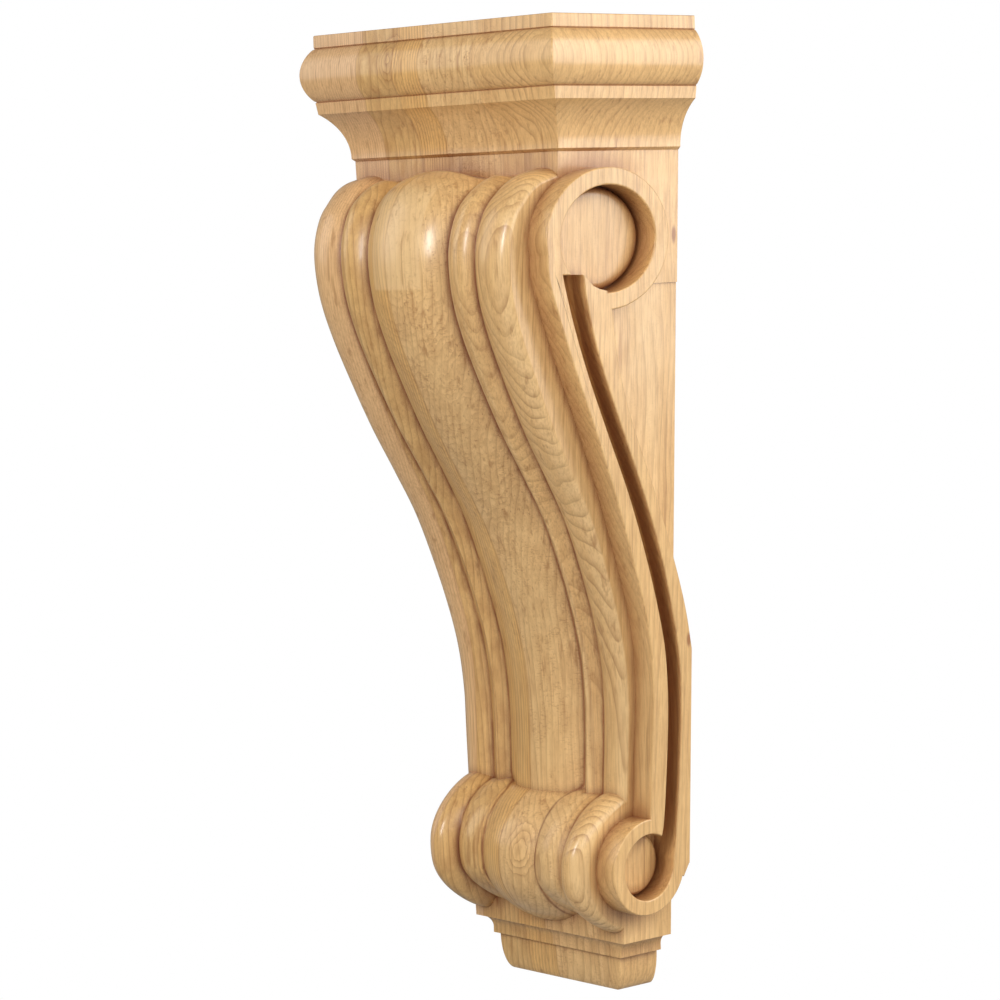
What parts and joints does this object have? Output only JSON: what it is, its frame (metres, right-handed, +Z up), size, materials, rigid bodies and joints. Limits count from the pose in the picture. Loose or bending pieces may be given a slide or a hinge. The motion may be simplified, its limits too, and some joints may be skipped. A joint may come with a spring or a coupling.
{
  "type": "corbel",
  "caption": "Carved wood corbel with a moulded cap, a fluted S-shaped front, a scroll on each side and a small stepped foot.",
  "frame": {"origin": "on the wall face, in the middle of its width and halfway up the corbel", "axes": "+Y into the wall, +Z up, -Y out from the wall, +X to the right of someone facing the front"},
  "size_m": [0.2218, 0.1421, 0.559],
  "materials": {
    "wood": "satin clear finish"
  },
  "bodies": {
    "root": {"corbel": "wood"}
  },
  "joints": []
}
